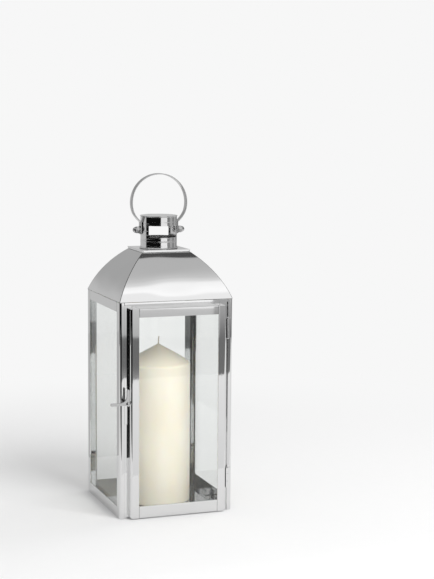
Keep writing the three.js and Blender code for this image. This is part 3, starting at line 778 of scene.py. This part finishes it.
def latch_lever():
    """A bent arm: the thumb end to the left, the nose up, with a fillet between and a hole at the hub."""
    low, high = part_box("latch_lever")
    thumb = LATCH[0] - low.x
    rise = high.z - LATCH[2]
    hub, arm, nose, fillet = 3.3 * MM, 2.2 * MM, 2.2 * MM, 10 * MM
    outline = [
        *arc((-thumb + arm, 0), arm, 90, 270, 24), (-1 * MM, -arm), *arc((0, 0), hub, -90, 0, 16),
        (nose, hub), *arc((0, rise - nose), nose, 0, 180, 24),
        *arc((-nose - fillet, arm + fillet), fillet, 0, -90, 20)[:-1],
    ]
    lever = prism(
        "Latch_lever", outline, low.y, high.y, lambda u, v, w: Vector((LATCH[0] + u, w, LATCH[2] + v)),
    )
    bore = STUD_NECK_R + GAP
    reach = 2 * abs(low.y)
    hole = [(0, 0), (bore, 0), (bore, reach), (0, reach)]
    cut_away(lever, wound("drill", hole, "-y", (LATCH[0], 0, LATCH[2]), 32))
    round_edges(lever, 0.9 * MM, 6, 50)
    return finish_piece(lever, "latch_lever", STEEL_HANDLE)


# ---- Candle ----

SHOULDER_Z = 0.224  # where the side turns into the cone
FOOT_R = 1.5 * MM


def candle_outline(low, high):
    """A tall side over a rounded foot, a soft shoulder, a slightly swollen cone and the hole for the wick."""
    radius, edge = high.x, 5 * MM
    hole_r, hole_h, swell = 1.3 * MM, 6 * MM, 1.6 * MM
    foot = arc((-FOOT_R, low.z + FOOT_R), FOOT_R, -90, 0, 5)
    levels = [(0, low.z), *[(radius + x, z) for x, z in foot]]
    tall = 60
    side_z, side_h = low.z + FOOT_R, SHOULDER_Z - edge - low.z - FOOT_R
    levels += [(radius, side_z + side_h * i / tall) for i in range(1, tall + 1)]
    turn_in = 90 - math.degrees(math.atan2(high.z - SHOULDER_Z, radius))
    levels += arc((radius - edge, SHOULDER_Z - edge), edge, 0, turn_in, 10)[1:]
    start_r, start_z = levels[-1]
    cone = 26
    for i in range(1, cone + 1):
        t = i / cone
        bulge = swell * math.sin(math.pi * t) * (1 - t)
        levels.append((start_r + (hole_r - start_r) * t, start_z + (high.z - start_z) * t + bulge))
    return levels + [(hole_r, high.z - hole_h), (0, high.z - hole_h)]


def candle():
    """The outline wound round, with shallow dents pressed in so that it isn't perfectly even."""
    low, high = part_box("candle")
    body = wound("Candle", candle_outline(low, high), segments=160)
    core, foot = 0.1 * high.x, low.z + FOOT_R
    dents = ((0.16 * MM, 30 * MM), (0.06 * MM, 8 * MM))  # (depth, length)
    for vertex in body.data.vertices:
        p = vertex.co
        flat = Vector((p.x, p.y, 0))
        if flat.length < core or p.z < foot:
            continue
        dent = sum(depth * noise.noise(p / length) for depth, length in dents)
        vertex.co = p + flat.normalized() * min(dent, 0.0)
    return finish_piece(body, "candle", WAX)


def wick():
    """Three strands twisted together, standing a little out of straight."""
    low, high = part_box("wick")
    strand_r, lay_r, pitch = 0.52 * MM, 0.5 * MM, 5 * MM
    steps, sides = 90, 10
    lean_from, lean_h, lean_by = 0.25, 13 * MM, 0.9 * MM
    tip_share, tip_steps = 0.35, 4
    bm = bmesh.new()
    for strand in range(3):
        rings = []
        for i in range(steps + 1):
            z = low.z + (high.z - low.z) * i / steps
            twist = TURN * (strand / 3 + (z - low.z) / pitch)
            lean = lean_by * (max(z - lean_from, 0) / lean_h) ** 2
            end = min(1.0, tip_share + (steps - i) / tip_steps)
            centre = Vector((lay_r * math.cos(twist) + lean, lay_r * math.sin(twist), z))
            rings.append([
                bm.verts.new(centre + Vector((math.cos(a), math.sin(a), 0)) * strand_r * end)
                for a in (TURN * k / sides for k in range(sides))
            ])
        for a, b in zip(rings, rings[1:]):
            for k in range(sides):
                m = (k + 1) % sides
                bm.faces.new((a[k], a[m], b[m], b[k]))
        bm.faces.new(rings[0])
        bm.faces.new(rings[-1])
    return finish_piece(object_from("Wick", bm), "wick", COTTON)


# ---- Studio ----


def camera():
    """From the front left and a little above, with a slight tilt to one side."""
    place = Vector((-0.7055, -2.1590, 0.6201))
    yaw, pitch, roll = (math.radians(a) for a in (20.40, 7.107, 0.44))
    forward = Vector((math.sin(yaw) * math.cos(pitch), math.cos(yaw) * math.cos(pitch), -math.sin(pitch)))
    level = Vector((math.cos(yaw), -math.sin(yaw), 0))
    above = level.cross(forward)
    right = level * math.cos(roll) + above * math.sin(roll)
    up = above * math.cos(roll) - level * math.sin(roll)
    data = bpy.data.cameras.new("Camera")
    data.sensor_width, data.lens = 36, 91.16  # millimetres
    obj = new_object("Camera", data)
    axes = Matrix((right, up, -forward)).transposed()
    obj.matrix_world = Matrix.Translation(place) @ axes.to_4x4()
    bpy.context.scene.camera = obj


def stage_plane(name, size, at, turn=(0, 0, 0)):
    """A flat rectangle of the scene, which isn't part of the lantern."""
    bm = bmesh.new()
    half_x, half_y = size[0] / 2, size[1] / 2
    corners = ((-half_x, -half_y, 0), (half_x, -half_y, 0), (half_x, half_y, 0), (-half_x, half_y, 0))
    bm.faces.new([bm.verts.new(corner) for corner in corners])
    mesh = bpy.data.meshes.new(name)
    bm.to_mesh(mesh)
    bm.free()
    plane = new_object(name, mesh)
    plane.location = at
    plane.rotation_euler = [math.radians(a) for a in turn]
    return plane


BRIGHT = 0.93  # how bright the floor and the background look


def pale_floor():
    """Matte paper near the object. Further out it glows a little, so that it runs into the background."""
    material, n = new_material("Pale floor")
    speck = n.noise(60.0, detail=3.0)
    colour = n.mix(speck, grey(0.875), grey(0.86))
    paper = n.add("ShaderNodeBsdfPrincipled", Base_Color=colour, Roughness=0.8)
    glow = n.add("ShaderNodeEmission", Color=grey(BRIGHT), Strength=1.0)
    place = n.add("ShaderNodeNewGeometry").outputs["Position"]
    distance = n.add("ShaderNodeVectorMath", {"operation": "LENGTH"})
    n.set(distance.inputs[0], place)
    mixed = n.add("ShaderNodeMixShader", Fac=n.spread(distance.outputs["Value"], 0.35, 1.1, 0, 1))
    n.set(mixed.inputs[1], paper.outputs[0])
    n.set(mixed.inputs[2], glow.outputs[0])
    n.add("ShaderNodeOutputMaterial", Surface=mixed.outputs[0])
    material.cycles.emission_sampling = "NONE"
    return material


def stepped_glow(name, along, steps):
    """A glow whose brightness changes along an axis: steps are (place, brightness)."""
    material, n = new_material(name)
    position = n.add("ShaderNodeNewGeometry").outputs["Position"]
    place = n.add("ShaderNodeSeparateXYZ", Vector=position).outputs[along]
    value = steps[0][1]
    for (low, before), (high, after) in zip(steps, steps[1:]):
        value = n.math("ADD", value, n.spread(place, low, high, 0.0, after - before))
    glow = n.add("ShaderNodeEmission", Strength=value)
    n.add("ShaderNodeOutputMaterial", Surface=glow.outputs[0])
    material.cycles.emission_sampling = "NONE"
    return material


def lit_by(name, size, power, at, towards):
    """A soft box that lights matte surfaces. Metal mirrors the cards instead."""
    data = bpy.data.lights.new(name, "AREA")
    data.shape, data.size, data.size_y, data.energy = "RECTANGLE", size[0], size[1], power
    lamp = new_object(name, data)
    lamp.location = at
    lamp.rotation_euler = (Vector(towards) - lamp.location).to_track_quat("-Z", "Y").to_euler()
    lamp.visible_glossy = False
    lamp.visible_camera = False


def show_only(obj, *kinds):
    """Hides the object from every kind of ray but these."""
    for kind in ("camera", "diffuse", "glossy", "transmission", "volume_scatter", "shadow"):
        setattr(obj, f"visible_{kind}", kind in kinds)


# What the metal mirrors round the lantern, and nothing else sees:
# name, size, place, turn in degrees, the axis that its glow changes along, and (place, brightness) steps.
CARDS = (
    ("Dark floor", (1.5, 0.9), (-0.88, -0.9, 0.001), (0, 0, 0), Z, ((0, 0.01),)),
    # A glow over the floor in front on the right, which only metal sees: the lit floor as painted light, dimming
    # towards the lantern as painted shade.
    ("Floor painted light", (1.5, 0.84), (0.62, -0.77, 0.001), (0, 0, 0), Y, (
        (-1.19, 1.02), (-0.757, 0.955), (-0.495, 0.91), (-0.36, 0.88),
    )),
    # A flat grey glow over the floor behind on the left, which only metal sees: painted shadow, the lantern's
    # shadow on that floor as the metal mirrors it.
    ("Floor painted shadow", (1.5, 1.4), (-0.9, 1.0, 0.001), (0, 0, 0), Z, ((0, 0.52),)),
    ("Front card", (1.9, 4.85), (0.75, -2.35, 2.125), (90, 0, 17), Z, (
        (-0.23, 0.32), (-0.19, 0.19), (-0.105, 0.19), (-0.095, 0.6), (-0.006, 0.7), (0.004, 1.25), (0.3, 1.0),
        (1.7, 1.12), (2.2, 1.12), (2.45, 1.32), (3.1, 1.24), (3.7, 0.9), (4.3, 0.74),
    )),
    ("Dark stand", (1.4, 0.5), (1.535, -2.2, -0.12), (90, 0, 0), Z, ((-0.1, 0.2), (0.03, 0.48))),
)

# Soft boxes: name, size, power in watts, place, and the point that each looks at.
LAMPS = (
    ("Key", (2.8, 2.8), 172, (1.42, -3.52, 3.4), (0, 0, 0.1)),
    ("Side", (2.0, 1.6), 24, (3.0, 0.9, 2.3), (0, 0, 0.2)),
    ("Fill", (3.0, 1.4), 44, (-0.9, -4.2, 1.5), (0, 0, 0.2)),
)


def studio():
    paper = pale_floor()
    table = stage_plane("Table", (3.4, 2.9), (0, 0.26, 0))
    floor = stage_plane("Floor", (60, 60), (0, 0, -0.0005))
    show_only(floor, "camera", "diffuse")
    for plane in (table, floor):
        plane.data.materials.append(paper)
    for name, size, at, turn, along, steps in CARDS:
        card = stage_plane(name, size, at, turn)
        card.data.materials.append(stepped_glow(name, along, steps))
        show_only(card, "glossy")
    for lamp in LAMPS:
        lit_by(*lamp)
    world_round_it()
    bpy.context.scene.view_settings.view_transform = "Standard"


def world_round_it():
    """The room as polished metal sees it.

    A grey wall behind, low darkness in front and on the left, grey streaks on the right, and a pale ceiling
    with a dark opening. Matte surfaces get an even light, and the camera sees the plain background.
    """
    world = bpy.data.worlds.new("Studio")
    bpy.context.scene.world = world
    world.use_nodes = True
    world.cycles.sampling_method = "NONE"
    n = Nodes(world.node_tree)
    direction = n.add("ShaderNodeTexCoord").outputs["Generated"]
    x, y, z = n.add("ShaderNodeSeparateXYZ", Vector=direction).outputs
    facing = n.math("ARCTAN2", x, n.math("MULTIPLY", y, -1.0))  # 0 towards -Y, positive towards +X
    height = n.math("ARCSINE", z)

    def between(value, a, b, first, second):
        """A smooth change from first to second as an angle goes from a to b degrees."""
        return n.spread(value, math.radians(a), math.radians(b), first, second)

    # The tone of each part of the room.
    wall = between(height, 5, 13, 0.62, 0.46)
    above = between(height, 54, 67, 0.78, 0.6)
    streak_rate, streak_phase, streak_depth, streak_tone = 9.5, 2.87, 0.12, 0.37
    wave = n.math("SINE", n.math("MULTIPLY_ADD", facing, streak_rate, streak_phase))
    streaks = n.math("MULTIPLY_ADD", wave, streak_depth, streak_tone)

    # Where each part is, from 0 outside it to 1 inside.
    ceiling = between(height, 44, 56, 0.0, 1.0)
    hatch = n.math("MULTIPLY", between(height, 50, 58, 0, 1), between(facing, 86, 92, 0, 1))
    front = n.math("MULTIPLY", between(facing, -108, -100, 0, 1), between(facing, 40, 46, 1, 0))
    dark = n.math("MULTIPLY", front, between(height, 12, 32, 1, 0))
    right = n.math("MULTIPLY", between(facing, 40, 46, 0, 1), between(facing, 150, 165, 1, 0))

    tone = n.mix(right, wall, streaks)
    tone = n.mix(dark, tone, grey(0.006))
    tone = n.mix(ceiling, tone, above)
    tone = n.mix(hatch, tone, grey(0.09))
    path = n.add("ShaderNodeLightPath")
    plain = n.mix(path.outputs["Is Camera Ray"], grey(0.55), grey(BRIGHT))
    tone = n.mix(path.outputs["Is Glossy Ray"], plain, tone)
    background = n.add("ShaderNodeBackground", Color=tone)
    n.add("ShaderNodeOutputWorld", Surface=background.outputs[0])


camera()
posts()
rails_and_plates()
glass_pieces()
door_pieces()
roof_pieces()
chimney_tube()
chimney_collar()
chimney_lid()
handle_ring()
handle_hardware()
hinge_pieces()
latch_plate()
latch_stud()
latch_lever()
candle()
wick()
studio()
